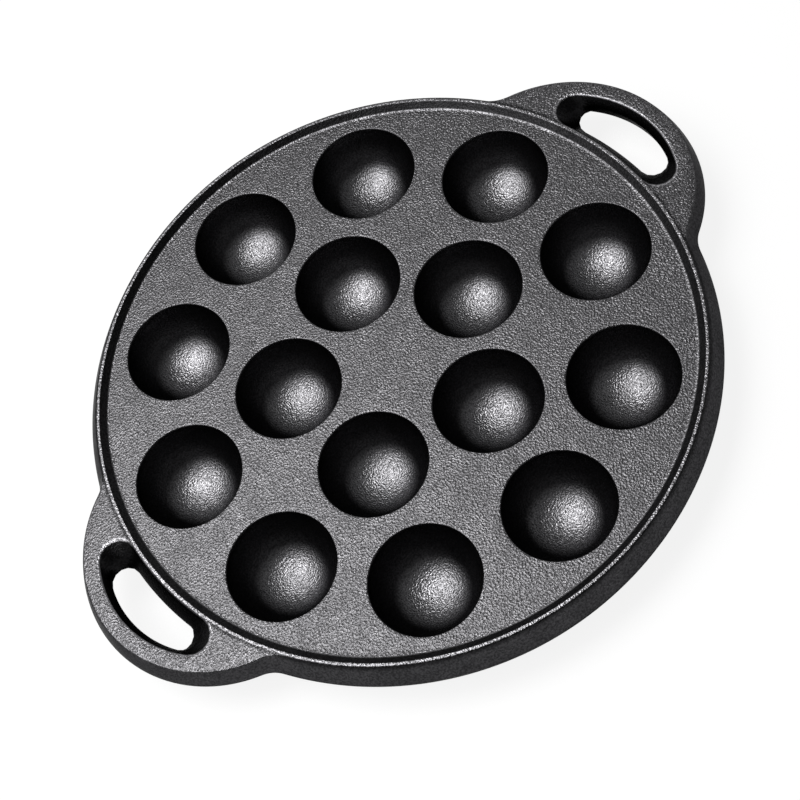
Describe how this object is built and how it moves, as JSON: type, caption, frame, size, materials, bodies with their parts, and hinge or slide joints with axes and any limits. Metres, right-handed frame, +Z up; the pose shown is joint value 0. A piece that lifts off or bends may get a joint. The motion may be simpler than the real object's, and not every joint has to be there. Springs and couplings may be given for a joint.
{
  "type": "takoyaki pan",
  "caption": "Round black cast-iron pan with rings of hemispherical cups sunk in a flat deck, a low raised rim, a tapered skirt and two loop handles.",
  "frame": {"origin": "centre of the round foot's underside, on the surface the pan stands on", "axes": "+Z up out of the cups, +X along the line through the two handles, +Y across them"},
  "size_m": [0.2806, 0.2346, 0.0265],
  "materials": {
    "deck_iron": "black seasoned, pebbled sand-cast grain, semi-gloss",
    "cup_iron": "black seasoned, finer grain, semi-gloss",
    "rim_iron": "black seasoned, fine grain, semi-gloss",
    "skirt_iron": "black seasoned, fine grain, semi-gloss",
    "handle_iron": "black seasoned, pebbled sand-cast grain, semi-gloss"
  },
  "bodies": {
    "root": {"cup_inner_01": "cup_iron", "cup_inner_02": "cup_iron", "cup_inner_03": "cup_iron", "cup_inner_04": "cup_iron", "cup_inner_05": "cup_iron", "cup_outer_01": "cup_iron", "cup_outer_02": "cup_iron", "cup_outer_03": "cup_iron", "cup_outer_04": "cup_iron", "cup_outer_05": "cup_iron", "cup_outer_06": "cup_iron", "cup_outer_07": "cup_iron", "cup_outer_08": "cup_iron", "cup_outer_09": "cup_iron", "cup_outer_10": "cup_iron", "deck_plate": "deck_iron", "rim_ring": "rim_iron", "side_skirt": "skirt_iron", "handle_right": "handle_iron", "handle_left": "handle_iron"}
  },
  "joints": []
}
